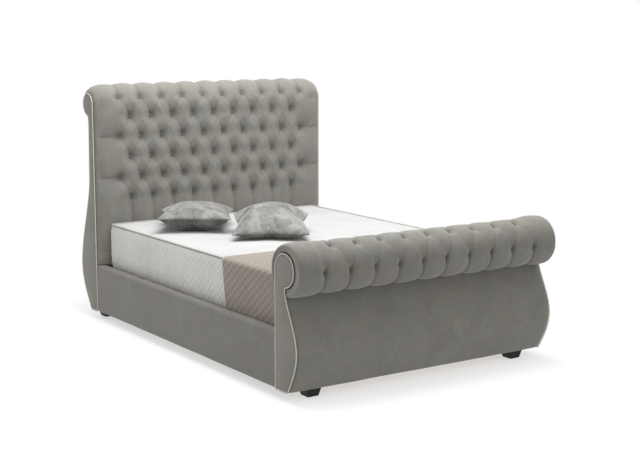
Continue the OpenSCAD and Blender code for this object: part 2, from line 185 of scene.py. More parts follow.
def foot_curve(n):
    """Outer curve of the footboard from its bottom edge up to the neck."""
    return join(
        bezier([(0.106, 0), (0.143, 0.061), (0.189, 0.132), (0.189, 0.212)], n),
        bezier([(0.189, 0.212), (0.189, 0.316), (0.085, 0.435), (0.085, 0.516)], n))


def outline(curve, scroll, n=64):
    """Closed outline of a facing: up the curve, round the scroll and down the inner edge."""
    depth, height, r = scroll
    ease = 0.010
    top = arc(depth, height, r, -85, 180, n)
    inner = np.linspace([0, height], [0, ease], n)[1:]
    heel = arc(ease, ease, ease, 180, 270, 8)[1:]
    toe = bezier([(curve[0, 0] - ease, 0), (curve[0, 0] - ease / 3, 0),
                  curve[0] + (ease / 4, ease / 3), curve[1]], 8)
    return np.concatenate([toe, curve[2:], top, inner, heel])


def resample(path, step, closed=False):
    """Points evenly spaced along a path."""
    if closed:
        path = np.vstack([path, path[:1]])
    run = np.concatenate([[0], np.cumsum(np.linalg.norm(np.diff(path, axis=0), axis=1))])
    count = max(int(round(run[-1] / step)), 2)
    at = np.linspace(0, run[-1], count + 1)
    if closed:
        at = at[:-1]
    return np.stack([np.interp(at, run, path[:, i]) for i in range(path.shape[1])], -1)


def tangents(path):
    """Unit directions along a closed path."""
    t = np.roll(path, -1, 0) - np.roll(path, 1, 0)
    return t / np.linalg.norm(t, axis=1, keepdims=True)


def outward(path):
    """Unit normals of a closed counter-clockwise outline."""
    t = tangents(path)
    return np.stack([t[:, 1], -t[:, 0]], -1)


def grown(path, by):
    """A closed counter-clockwise outline moved outwards."""
    return path + by * outward(path)


def side_name(side):
    return "right" if side > 0 else "left"


class Board:
    """Places outline points of the headboard or the footboard in the frame."""

    def __init__(self, name, plane, outwards, curve, scroll):
        self.name, self.plane, self.outwards = name, plane, outwards
        self.curve, self.scroll = curve, scroll

    def part(self, what, side):
        """Name of one of the board's two side pieces."""
        return f"{self.name}_{what}_{side_name(side)}"

    def place(self, x, dz):
        x = np.broadcast_to(x, dz.shape[:-1])
        return np.stack([x, self.plane + self.outwards * dz[..., 0], FOOT_H + dz[..., 1]], -1)


HEAD = Board("head", HEAD_Y, 1, head_curve, HEAD_SCROLL)
FOOT = Board("foot", FOOT_Y, -1, foot_curve, FOOT_SCROLL)


# ---- Materials --------------------------------------------------------------------------

class Nodes:
    """A short way to build a node material."""

    def __init__(self, name):
        self.material = bpy.data.materials.new(name)
        self.material.use_nodes = True
        self.tree = self.material.node_tree
        self.shader = self.tree.nodes["Principled BSDF"]
        self.place = self.add("ShaderNodeTexCoord").outputs["Object"]

    def add(self, kind, **values):
        node = self.tree.nodes.new(kind)
        for key, value in values.items():
            if key in node.inputs.keys():
                node.inputs[key].default_value = value
            else:
                setattr(node, key, value)
        return node

    def link(self, a, b):
        self.tree.links.new(a, b)
        return b

    def scaled(self, scale):
        node = self.add("ShaderNodeMapping")
        node.inputs["Scale"].default_value = scale
        self.link(self.place, node.inputs["Vector"])
        return node.outputs["Vector"]

    def noise(self, scale, detail=3.0, rough=0.55, stretch=None, distortion=0.0):
        node = self.add("ShaderNodeTexNoise", Scale=scale, Detail=detail, Roughness=rough,
                        Distortion=distortion)
        self.link(self.scaled(stretch) if stretch else self.place, node.inputs["Vector"])
        return node.outputs["Fac"]

    def ramp(self, value, stops):
        node = self.add("ShaderNodeValToRGB")
        line = node.color_ramp
        while len(line.elements) < len(stops):
            line.elements.new(0.5)
        for element, (at, colour) in zip(line.elements, stops):
            element.position = at
            element.color = (*colour, 1.0)
        self.link(value, node.inputs["Fac"])
        return node.outputs["Color"]

    def tones(self, value, colour, *stops):
        """The colour over a value; each stop is (place, how much lighter or darker)."""
        return self.ramp(value, [(at, shade(colour, by)) for at, by in stops])

    def math(self, operation, a, b):
        node = self.add("ShaderNodeMath", operation=operation)
        for socket, value in zip(node.inputs, (a, b)):
            if isinstance(value, (int, float)):
                socket.default_value = value
            else:
                self.link(value, socket)
        return node.outputs["Value"]

    def mix(self, factor, a, b, blend="MIX"):
        node = self.add("ShaderNodeMix", data_type="RGBA", blend_type=blend)
        for socket, value in ((node.inputs["Factor"], factor), (node.inputs["A"], a),
                              (node.inputs["B"], b)):
            if isinstance(value, (int, float)):
                socket.default_value = value
            elif isinstance(value, tuple):
                socket.default_value = (*value, 1.0)
            else:
                self.link(value, socket)
        return node.outputs["Result"]

    def colour(self, value):
        self.link(value, self.shader.inputs["Base Color"])

    def rough(self, value, low, high):
        node = self.add("ShaderNodeMapRange")
        node.inputs["To Min"].default_value = low
        node.inputs["To Max"].default_value = high
        self.link(value, node.inputs["Value"])
        self.link(node.outputs["Result"], self.shader.inputs["Roughness"])

    def bump(self, *layers):
        """Each layer is (height, strength, distance in metres)."""
        normal = None
        for height, strength, distance in layers:
            node = self.add("ShaderNodeBump", Strength=strength, Distance=distance)
            self.link(height, node.inputs["Height"])
            if normal is not None:
                self.link(normal, node.inputs["Normal"])
            normal = node.outputs["Normal"]
        self.link(normal, self.shader.inputs["Normal"])

    def set(self, **values):
        for key, value in values.items():
            self.shader.inputs[key.replace("_", " ")].default_value = value


def shade(colour, by):
    """A colour made darker or lighter."""
    return tuple(c * by for c in colour)


def velvet_material(name, colour, mottle=0.16):
    """Short-pile velvet: brushed patches, upright streaks of nap, fine pile, a soft sheen, and
    painted shade that darkens it where the cover lies deep.
    """
    m = Nodes(name)
    patches = m.noise(6.0, 5.0, 0.62, distortion=0.9)
    streaks = m.noise(105.0, 3.0, 0.65, stretch=(1.0, 1.0, 0.34))
    warmth = m.noise(9.0, 3.0, 0.6, distortion=0.5)
    pile = m.noise(800.0, 2.0, 0.6)
    tone = m.tones(patches, colour, (0.30, 1 - mottle), (0.70, 1 + mottle))
    tone = m.mix(0.32, tone, m.tones(streaks, colour, (0.34, 0.76), (0.66, 1.24)))
    tone = m.mix(1.0, tone, m.ramp(warmth, [(0.35, (1.03, 0.99, 0.95)), (0.65, (0.96, 1.0, 1.01))]),
                 blend="MULTIPLY")
    tone = m.mix(0.22, tone, m.tones(pile, colour, (0.35, 0.6), (0.65, 1.4)))
    # Painted shade: the colour falls to half where the cover lies deep, in the pits, the pleats,
    # the seams and on the buttons.
    hollow_shade = m.add("ShaderNodeAttribute", attribute_name="hollow_shade").outputs["Fac"]
    tone = m.mix(1.0, tone, m.ramp(hollow_shade, [(0.25, (1.0, 1.0, 1.0)), (1.0, (0.50, 0.50, 0.49))]),
                 blend="MULTIPLY")
    m.colour(tone)
    m.rough(pile, 0.80, 0.98)
    m.bump((patches, 0.25, 0.004), (streaks, 0.22, 0.0015), (pile, 0.35, 0.0005))
    m.set(Sheen_Weight=0.28, Sheen_Roughness=0.5, Sheen_Tint=(0.92, 0.90, 0.86, 1.0),
          Specular_IOR_Level=0.12)
    return m.material


def crushed_material(name, colour):
    """Crushed velvet: bright and dark panes where the pile is pressed different ways."""
    m = Nodes(name)
    warp = m.noise(5.5, 4.0, 0.62, distortion=1.8)
    shards = m.noise(30.0, 5.0, 0.7, distortion=2.6)
    pile = m.noise(1000.0, 2.0, 0.6)
    tone = m.tones(warp, colour, (0.36, 0.42), (0.50, 1.0), (0.62, 1.9))
    tone = m.mix(0.50, tone, m.tones(shards, colour, (0.36, 0.40), (0.52, 1.0), (0.66, 1.8)))
    m.colour(tone)
    m.rough(shards, 0.38, 0.80)
    m.bump((warp, 0.5, 0.006), (shards, 0.55, 0.003), (pile, 0.25, 0.0004))
    m.set(Sheen_Weight=0.6, Sheen_Roughness=0.3, Sheen_Tint=(1.0, 0.99, 0.97, 1.0),
          Specular_IOR_Level=0.4)
    return m.material


def weave_material(name, colour, thread=0.0012, mottle=0.06, sheen=0.15, rough=0.9):
    """Plain woven or knitted cloth."""
    m = Nodes(name)
    cloud = m.noise(5.0, 3.0, 0.5)
    lanes = []
    for axis in "XYZ":
        wave = m.add("ShaderNodeTexWave", bands_direction=axis, wave_profile="SIN",
                     Scale=0.32 / thread, Distortion=1.2, Detail=2.0)
        m.link(m.place, wave.inputs["Vector"])
        lanes.append(wave.outputs["Fac"])
    weave = m.math("ADD", m.math("ADD", lanes[0], lanes[1]), lanes[2])
    fibre = m.noise(700.0, 2.0, 0.6)
    tone = m.tones(cloud, colour, (0.3, 1 - mottle), (0.7, 1 + mottle))
    tone = m.mix(0.22, tone, m.tones(fibre, colour, (0.3, 0.72), (0.7, 1.16)))
    m.colour(tone)
    m.rough(fibre, rough - 0.08, min(rough + 0.06, 1.0))
    m.bump((weave, 0.18, thread * 0.5), (fibre, 0.25, 0.0004))
    m.set(Sheen_Weight=sheen, Sheen_Roughness=0.5, Specular_IOR_Level=0.2)
    return m.material


def wood_material(name, colour, along, rough=0.55, plies=0.0):
    """Sawn timber with its grain along one axis, or plywood with its plies on the edges."""
    m = Nodes(name)
    stretch = tuple(0.05 if axis == along else 1.0 for axis in "XYZ")
    grain = m.noise(140.0, 6.0, 0.65, stretch=stretch, distortion=0.5)
    figure = m.noise(16.0, 3.0, 0.5, stretch=stretch, distortion=1.2)
    tone = m.tones(grain, colour, (0.3, 0.62), (0.55, 1.0), (0.75, 1.25))
    tone = m.mix(0.45, tone, m.tones(figure, colour, (0.35, 0.72), (0.65, 1.2)))
    if plies:
        wave = m.add("ShaderNodeTexWave", bands_direction="X", wave_profile="SIN",
                     Scale=0.32 / plies, Distortion=0.3)
        m.link(m.place, wave.inputs["Vector"])
        layers = m.tones(wave.outputs["Fac"], colour, (0.4, 0.55), (0.6, 1.1))
        tone = m.mix(0.35, tone, layers)
    m.colour(tone)
    m.rough(grain, rough - 0.1, rough + 0.15)
    m.bump((grain, 0.35, 0.0008), (figure, 0.15, 0.001))
    return m.material


def painted_material(name, colour, rough=0.4, gloss=0.5):
    """Painted or moulded surface with faint mottling."""
    m = Nodes(name)
    cloud = m.noise(22.0, 4.0, 0.6)
    grit = m.noise(420.0, 3.0, 0.6)
    m.colour(m.tones(cloud, colour, (0.3, 0.75), (0.7, 1.35)))
    m.rough(grit, rough - 0.1, rough + 0.15)
    m.bump((grit, 0.15, 0.0004), (cloud, 0.1, 0.001))
    m.set(Specular_IOR_Level=gloss)
    return m.material


def steel_material(name):
    """Zinc-plated steel with a faint brushed grain."""
    m = Nodes(name)
    brush = m.noise(260.0, 4.0, 0.6, stretch=(1.0, 1.0, 0.08))
    bloom = m.noise(18.0, 4.0, 0.6)
    m.colour(m.ramp(bloom, [(0.3, (0.46, 0.47, 0.49)), (0.7, (0.64, 0.65, 0.67))]))
    m.rough(brush, 0.28, 0.5)
    m.bump((brush, 0.12, 0.0003))
    m.set(Metallic=1.0)
    return m.material


VELVET_GREY = (0.140, 0.135, 0.122)
MATTRESS_WHITE = (0.45, 0.445, 0.418)
PINE = (0.50, 0.35, 0.20)

velvet = velvet_material("velvet_grey", VELVET_GREY)
# The rails' velvet is a darker copy of the same velvet: painted shade for the less light the rails
# catch.
shaded_rail_velvet = velvet_material("velvet_grey_rail_shaded", shade(VELVET_GREY, 0.82))
cord_cream = weave_material("cord_cream", (0.42, 0.40, 0.33), thread=0.0009, rough=0.7)
border_cloth = weave_material("mattress_border_cloth", MATTRESS_WHITE, thread=0.0014)
top_cloth = weave_material("mattress_top_cloth", (0.345, 0.345, 0.343), thread=0.0014)
tape_cloth = weave_material("mattress_tape_cloth", (0.29, 0.28, 0.255), thread=0.001)
throw_cloth = weave_material("throw_cloth", (0.147, 0.117, 0.090), thread=0.0011, sheen=0.5)
crushed = crushed_material("cushion_silver", (0.122, 0.120, 0.113))
crushed_seam = crushed_material("cushion_seam", (0.085, 0.083, 0.078))
foot_paint = painted_material("foot_black", (0.006, 0.0058, 0.0055), gloss=0.22)
plastic = painted_material("cap_plastic", (0.02, 0.02, 0.021), rough=0.45)
leg_paint = painted_material("leg_paint", (0.03, 0.03, 0.03), rough=0.5)
felt = weave_material("felt_pad", (0.10, 0.095, 0.09), thread=0.0008)
steel = steel_material("zinc_steel")
timber_x = wood_material("timber_across", PINE, "X", rough=0.7)
timber_y = wood_material("timber_along", PINE, "Y", rough=0.7)
timber_z = wood_material("timber_upright", PINE, "Z", rough=0.7)
beech = wood_material("slat_beech", (0.58, 0.42, 0.25), "X", rough=0.42)
ply = wood_material("plywood", (0.48, 0.33, 0.19), "Z", rough=0.65, plies=0.003)
spring_felt = weave_material("spring_felt", (0.62, 0.62, 0.60))


# ---- Tufted pads ------------------------------------------------------------------------

PLEAT_W = 0.0045         # half the width of a pleat


class Tufting:
    """The pattern of a buttoned pad in its own plane, x across and s along the pad.

    Rows of buttons lie at s = 0, row, 2 row ...; neighbouring rows are half a pitch apart.
    The last column of the wide rows is at x = 4.5 pitches. Pleats run along the diagonals
    between buttons, and straight on from the outermost buttons to the edges of the pad.
    """

    def __init__(self, pitch, row, rows, wide_first):
        self.pitch, self.row, self.rows = pitch, row, rows
        self.shift = 0.5 if wide_first else 0.0
        self.last_x = 4.5 * pitch
        self.last_s = (rows - 1) * row

    def shape(self, pit, pit_r, crease, crown, outer, sides, slot=1.0, other=1.0, bulge=0.0,
              slant=0.0):
        """Depths in metres: pits and their radius, pleats, the pillows inside the pattern and
        beyond it, and how much of the outer pillows shows at the pad's sides. slot makes the pits
        tall and narrow, other is the share left of the pleats that lean to the left, bulge is how
        much fuller the pad is at its sides, and slant leans the pleats below the first row."""
        self.pit, self.pit_r, self.crease = pit, pit_r, crease
        self.crown, self.outer, self.sides = crown, outer, sides
        self.slot, self.other, self.bulge, self.slant = slot, other, bulge, slant
        self.total = pit + crease + crown
        return self

    def buttons(self):
        for i in range(self.rows):
            wide = (i % 2 == 0) == (self.shift > 0)
            half = 4.5 if wide else 4.0
            for k in range(10 if wide else 9):
                yield (k - half) * self.pitch, i * self.row

    def depth(self, x, s):
        """How far the cover lies below the pad's fullest surface."""
        cx = np.clip(x, -self.last_x, self.last_x)
        cs = np.clip(s, 0, self.last_s)
        past_x, past_s = np.abs(x - cx), np.abs(s - cs)
        over = np.hypot(past_x, past_s)
        u = cx / self.pitch
        v = cs / (2 * self.row) + self.shift
        a, b = u + v, u - v
        na, nb = np.round(a), np.round(b)
        bx = (na + nb) / 2 * self.pitch
        bs = ((na - nb) / 2 - self.shift) * 2 * self.row
        dx, ds = x - bx, s - bs
        r = np.hypot(dx * self.slot, ds / self.slot)
        gap = 1 / math.hypot(1 / self.pitch, 1 / (2 * self.row))
        right = np.exp(-(np.abs(b - nb) * gap / PLEAT_W) ** 1.1)
        left = np.exp(-(np.abs(a - na) * gap / PLEAT_W) ** 1.1)
        pleat = np.maximum(right, self.other * left)
        pillow = np.abs(np.sin(math.pi * b)) ** 0.6
        pillow = pillow * (1 - self.other * (1 - np.abs(np.sin(math.pi * a)) ** 0.6))
        corner = (past_x > 0) & (past_s > 0)
        turn = np.arctan2(past_s, np.maximum(past_x, 1e-9))
        pillow = np.where(corner, np.maximum(pillow, np.cos(turn) ** 0.6), pillow)
        pleat = np.where(corner, np.exp(-(past_x / PLEAT_W) ** 1.1) * (pillow < 0.94), pleat)
        real = (np.abs(bx) < self.last_x + 0.01) & (bs > -0.01) & (bs < self.last_s + 0.01)
        near = np.where(real, np.exp(-r / 0.05), 0.0)
        out = smooth_step(over / 0.06)
        below_top = smooth_step((self.last_s - s) / (0.6 * self.row))
        side = 1 - (1 - self.sides * below_top) * smooth_step(past_x / 0.04)
        side = np.where(past_s > 0, 1.0, side)
        crown = self.crown + (self.outer - self.crown) * out
        crease = self.crease * (0.28 + 0.72 * np.maximum(near, out))
        folds = np.cos(9 * np.arctan2(ds, dx)) * np.exp(-((r - 0.028) / 0.014) ** 2)
        return (self.pit * np.where(real, np.exp(-(r / self.pit_r) ** 1.45), 0.0)
                + crease * pleat * side
                + crown * (1 - pillow) * side
                + 0.0011 * np.where(real, folds, 0.0)
                - self.bulge * smooth_step(past_x / 0.05))


def lattice_axis(low, high, step, origin=0.0):
    """Grid positions on multiples of a step from an origin, with both ends added."""
    first = math.ceil((low - origin) / step + 0.3)
    last = math.floor((high - origin) / step - 0.3)
    return np.concatenate([[low], origin + step * np.arange(first, last + 1), [high]])


def valley_faces(height):
    """Triangles of a grid, each quad split along its lower diagonal so that pleats stay crisp."""
    nu, nv = height.shape
    index = np.arange(nu * nv).reshape(nu, nv)
    a, b = index[:-1, :-1], index[1:, :-1]
    c, d = index[1:, 1:], index[:-1, 1:]
    h = height
    first = (h[:-1, :-1] + h[1:, 1:]) >= (h[1:, :-1] + h[:-1, 1:])
    one = np.where(first[..., None], np.stack([a, b, c], -1), np.stack([a, b, d], -1))
    two = np.where(first[..., None], np.stack([a, c, d], -1), np.stack([b, c, d], -1))
    return np.concatenate([one.reshape(-1, 3), two.reshape(-1, 3)]).tolist()


TUFT_STEPS = 16
SEAM_DEPTH = 0.011       # how far a pad's cover is pulled in along its end seams


def tufted_pad(name, board, tufting, mid, end, reach, rounding, overhang, tuck, seed):
    """A buttoned cover. mid(s) and end(s) give its outline at mid width and at the facings,
    reach its run, rounding and tuck the lengths over which it rounds and flattens sideways."""
    s_low, s_high = reach
    x = lattice_axis(-PAD_X, PAD_X, tufting.pitch / 2 / TUFT_STEPS)
    s = lattice_axis(s_low, s_high, tufting.row / TUFT_STEPS)
    xx, ss = np.meshgrid(x, s, indexing="ij")
    wx = 0.0025 * ripple(xx, ss, 0.34, seed)
    ws = 0.0025 * ripple(xx, ss, 0.30, seed + 1)

    def base(px, ps):
        inwards = np.clip((PAD_X - np.abs(px)) / rounding, 0, 1)
        full = np.sqrt(1 - (1 - inwards) ** 2)[..., None]
        swell = np.sign(px) * overhang * np.sin(math.pi * inwards)
        return board.place(px + swell, full * mid(ps) + (1 - full) * end(ps))

    edge = smooth_step((PAD_X - np.abs(xx)) / tuck)
    lean = tufting.slant * np.maximum(-ss, 0)
    px = np.clip(xx + (wx + lean) * edge, -PAD_X, PAD_X)
    ps = np.clip(ss + ws * edge, s_low, s_high)
    points = base(px, ps)
    normal = grid_normals(points)
    depth = tufting.depth(xx, ss)
    ends = np.minimum(ss - s_low, s_high - ss) if board is FOOT else s_high - ss
    depth = depth * edge + SEAM_DEPTH * np.exp(-ends / 0.012)
    depth = depth + 0.0010 * (1 + ripple(xx, ss, 0.085, seed + 2)) * edge
    points = points - normal * depth[..., None]
    piece = add_mesh(name, points, valley_faces(depth), velvet)
    # Painted shade: the velvet darkens by how deep the cover lies here.
    mark_hollow_shade(piece, np.clip(depth / tufting.total, 0, 1))
    return piece, base


def button_covers(name, tufting, base, sink):
    """Covered buttons at the bottom of the pits, each a low dome with a pinched rim."""
    rings, spokes = 6, 24
    verts, faces = [], []
    step = 0.002
    for bx, bs in tufting.buttons():
        p = base(np.array([[bx - step, bx - step], [bx + step, bx + step]]),
                 np.array([[bs - step, bs + step], [bs - step, bs + step]]))
        n = grid_normals(p)[0, 0]
        across = p[1, 0] - p[0, 0]
        across /= np.linalg.norm(across)
        along = np.cross(n, across)
        centre = p.mean((0, 1)) - n * sink
        start = len(verts)
        verts.append(centre + n * 0.0062)
        for ring in range(1, rings + 1):
            t = ring / rings
            lift = 0.0062 * math.sqrt(max(1 - t ** 2.6, 0)) - 0.003 * t ** 6
            for k in range(spokes):
                angle = 2 * math.pi * k / spokes
                r = BUTTON_R * t * (1 + 0.015 * math.cos(8 * angle) * t)
                verts.append(centre + n * lift
                             + r * (across * math.cos(angle) + along * math.sin(angle)))
        for k in range(spokes):
            faces.append((start, start + 1 + k, start + 1 + (k + 1) % spokes))
        for ring in range(rings - 1):
            lo = start + 1 + ring * spokes
            for k in range(spokes):
                k2 = (k + 1) % spokes
                faces.append((lo + k, lo + spokes + k, lo + spokes + k2, lo + k2))
    piece = add_mesh(name, verts, faces, velvet)
    # Painted shade: the buttons get the dark shade of the pits all over.
    mark_hollow_shade(piece, np.full(len(verts), 0.85))
    return piece


def profile(line_d, straight, circle, start_angle, turn):
    """Outline points against arc length: a straight run up at depth line_d, then a circle."""
    depth, height, r = circle

    def at(s):
        on_line = np.minimum(s, straight)
        angle = np.radians(start_angle) + turn * np.maximum(s - straight, 0) / r
        d = np.where(s < straight, line_d, depth + r * np.cos(angle))
        h = np.where(s < straight, height + on_line - straight, height + r * np.sin(angle))
        return np.stack([d, h], -1)

    return at


def build_headboard_pad():
    straight = HEAD_ROLL[1] - (HEAD_ROW_Z - FOOT_H)
    roll_run = HEAD_ROLL[2] * math.radians(279)
    end_r = HEAD_SCROLL[2] + 0.002
    end_share = end_r * math.radians(262) / roll_run
    mid = profile(-PAD_T, straight, HEAD_ROLL, 180, -1)
    facing = profile(0.0, straight, (HEAD_SCROLL[0], HEAD_SCROLL[1], end_r), 180, -1)

    def end(s):
        return facing(np.where(s < straight, s, straight + (s - straight) * end_share))

    tufting = Tufting(HEAD_PITCH, HEAD_ROW, HEAD_ROWS, False).shape(
        pit=0.0265, pit_r=0.036, crease=0.0040, crown=0.0028, outer=0.0110, sides=0.9)
    reach = PAD_BOTTOM - HEAD_ROW_Z, straight + roll_run
    piece, base = tufted_pad("head_tufted_cover", HEAD, tufting, mid, end, reach,
                             HEAD_ROUND, 0.0, 0.035, 11)
    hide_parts("head_front_pad", "head_roll_pad")
    buttons = button_covers("head_button_covers", tufting, base, tufting.total - 0.002)
    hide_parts("head_buttons")


def build_footboard_roll():
    r = FOOT_ROLL[2]
    first = math.radians(FOOT_FIRST_ANGLE)
    row = r * math.radians(FOOT_ROW_ANGLE)

    def ring(depth, height, radius):
        def at(s):
            angle = first + s / r
            return np.stack([depth + radius * np.cos(angle), height + radius * np.sin(angle)], -1)
        return at

    tufting = Tufting(FOOT_PITCH, row, 3, True).shape(
        pit=0.0220, pit_r=0.021, crease=0.0060, crown=0.0052, outer=0.0095, sides=0.3,
        slot=1.35, other=0.30, bulge=0.006, slant=0.09)
    end_circle = FOOT_SCROLL[0], FOOT_SCROLL[1], FOOT_SCROLL[2] + 0.007
    reach = tuple((math.radians(a) - first) * r for a in (-93, 223))
    piece, base = tufted_pad("foot_tufted_roll", FOOT, tufting, ring(*FOOT_ROLL),
                             ring(*end_circle), reach, FOOT_ROUND, 0.022, 0.050, 23)
    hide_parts("foot_roll_pad")
    buttons = button_covers("foot_button_covers", tufting, base, tufting.total - 0.002)
    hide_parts("foot_buttons")


# ---- Facings, piping and plain panels ---------------------------------------------------

def build_facing(board, side):
    """A flat facing with a soft crown that rolls down to its piping."""
    path = resample(outline(board.curve(40), board.scroll), 0.006, closed=True)
    steps = [(-CORD_R, BOARD_X), (-CORD_R, FACING_X - 0.004), (-0.0045, FACING_X - 0.0020),
             (-0.0065, FACING_X - 0.0006), (-0.0090, FACING_X)]
    rings = [board.place(x * side, grown(path, by)) for by, x in steps]
    verts = np.concatenate(rings)
    faces = grid_faces(len(rings), len(path), wrap_v=True)
    last = (len(rings) - 1) * len(path)
    faces.append(list(range(last, last + len(path))))
    piece = add_mesh(board.part("facing_cover", side), verts, faces, velvet)
    mesh = bmesh.new()
    mesh.from_mesh(piece.data)
    bmesh.ops.triangulate(mesh, faces=[f for f in mesh.faces if len(f.verts) > 4])
    bmesh.ops.recalc_face_normals(mesh, faces=mesh.faces)
    mesh.to_mesh(piece.data)
    mesh.free()
    piece.data.shade_smooth()
    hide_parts(board.part("facing", side))


def build_piping(board, side):
    """A twisted three-strand cord along the facing's outline."""
    twist, spokes, step = 0.0195, 12, 0.0019
    path = outline(board.curve(60), board.scroll)
    path = resample(path, step, closed=True)
    normal = outward(path)
    run = np.arange(len(path)) * step
    angle = np.linspace(0, 2 * math.pi, spokes, endpoint=False)
    swell = 0.78 + 0.30 * np.abs(np.cos(1.5 * angle[None] - math.pi * 3 * run[:, None] / twist))
    r = CORD_R * 1.02 * swell
    x = (SIDE_X - CORD_R * 1.05) + r * np.sin(angle)
    dz = path[:, None] + normal[:, None] * (r * np.cos(angle))[..., None]
    points = board.place(x * side, dz)
    piece = add_mesh(board.part("cord", side), points,
                     grid_faces(len(path), spokes, wrap_u=True, wrap_v=True), cord_cream,
                     "bed_frame")
    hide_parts(board.part("piping", side))


def build_curved_panel(name, board, node, seed):
    """The plain padded cover that follows a board's rear or outer curve."""
    path = resample(board.curve(40), 0.012)
    under = path[:1] + np.array([[-0.012, 0.0]])
    path = np.vstack([under, path])
    x = np.linspace(-BOARD_X - 0.003, BOARD_X + 0.003, 120)
    xx, ii = np.meshgrid(x, np.arange(len(path)), indexing="ij")
    points = board.place(xx, path[ii])
    normal = grid_normals(points) * -board.outwards
    soft = smooth_step((BOARD_X + 0.003 - np.abs(xx)) / 0.05)
    height = 0.0012 * ripple(xx, ii * 0.012, 0.30, seed) * soft - 0.0025 * (1 - soft) ** 3
    points = points + normal * height[..., None]
    faces = [f[::-board.outwards] for f in grid_faces(*xx.shape)]
    piece = add_mesh(name, points, faces, velvet)
    thick = piece.modifiers.new("thickness", "SOLIDIFY")
    thick.thickness, thick.offset = 0.010, -1.0
    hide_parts(node)


def rounded_rectangle(low, high, r, corner_steps, step):
    """Closed outline with rounded corners between two (across, up) points, counter-clockwise."""
    (x0, z0), (x1, z1) = low, high
    centres = [(x1 - r, z1 - r), (x0 + r, z1 - r), (x0 + r, z0 + r), (x1 - r, z0 + r)]
    corners = [arc(*centre, r, 90 * k, 90 * (k + 1), corner_steps)
               for k, centre in enumerate(centres)]
    return resample(np.concatenate(corners), step, closed=True)


RAIL_EDGE = 0.014        # rounding of a side rail's long edges


def build_rail(side):
    """A padded side rail with soft edges, pulled slightly unevenly over its timber."""
    where = side_name(side)
    low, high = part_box(f"rail_cover_{where}")
    path = rounded_rectangle(low.xz, high.xz, RAIL_EDGE, 6, 0.008)
    y = np.linspace(low.y, high.y, 190)
    yy, ii = np.meshgrid(y, np.arange(len(path)), indexing="ij")
    middle = path.mean(0)
    out = path - middle
    out /= np.linalg.norm(out, axis=1, keepdims=True)
    wave = 0.0010 * ripple(yy, path[ii][..., 1], 0.35, 31 + side)
    dz = path[ii] + out[ii] * wave[..., None]
    points = np.stack([dz[..., 0], yy, dz[..., 1]], -1)
    faces = grid_faces(len(y), len(path), wrap_v=True)
    faces += [list(range(len(path)))[::-1],
              list(range((len(y) - 1) * len(path), len(y) * len(path)))]
    # The rail's darker velvet is painted shade.
    piece = add_mesh(f"rail_velvet_{where}", points, faces, shaded_rail_velvet)
    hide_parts(f"rail_cover_{where}")


# ---- Feet -------------------------------------------------------------------------------

FOOT_TAPER = 65 / 86     # a foot's width at the floor against its width at the top


def build_foot(node):
    """A tapered block foot with eased edges, standing on a felt pad."""
    low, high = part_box(node)
    centre = (low + high) / 2
    half = (high - low) / 2
    verts = []
    for z, scale in ((low.z + 0.003, FOOT_TAPER), (high.z, 1.0)):
        for sx, sy in ((-1, -1), (1, -1), (1, 1), (-1, 1)):
            verts.append((centre.x + sx * half.x * scale, centre.y + sy * half.y * scale, z))
    faces = [(3, 2, 1, 0), (4, 5, 6, 7)] + [(i, (i + 1) % 4, 4 + (i + 1) % 4, 4 + i)
                                            for i in range(4)]
    block = add_mesh(f"{node}_block", verts, faces, foot_paint, "bed_frame",
                     smooth=False)
    bevel = block.modifiers.new("eased_edges", "BEVEL")
    bevel.width, bevel.segments = 0.003, 3
    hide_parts(node)
    rim = arc(centre.x, centre.y, 0.024, 0, 360, 40)[:-1]
    rings = [np.column_stack([centre.x + (rim[:, 0] - centre.x) * k,
                              centre.y + (rim[:, 1] - centre.y) * k, np.full(len(rim), z)])
             for k, z in ((0.96, low.z), (1.0, low.z + 0.001), (1.0, low.z + 0.0035))]
    pad_faces = grid_faces(3, len(rim), wrap_v=True) + [list(range(len(rim)))[::-1]]
    add_mesh(f"{node}_felt", np.concatenate(rings), pad_faces, felt, "bed_frame")


# ---- Mattress ---------------------------------------------------------------------------

PLAN_STEP = 0.005        # between the points along the mattress's outline
MATTRESS_CORNER = 0.024
EDGE_TAPE = 0.020        # height of the taped edge at the top and the bottom
CHEVRON_RUN = 0.105      # length of one zigzag
CHEVRON_RISE = 0.035     # half the height of a zigzag
CHEVRON_GAP = 0.047      # distance between stitch lines
RIB_PITCH = 0.024


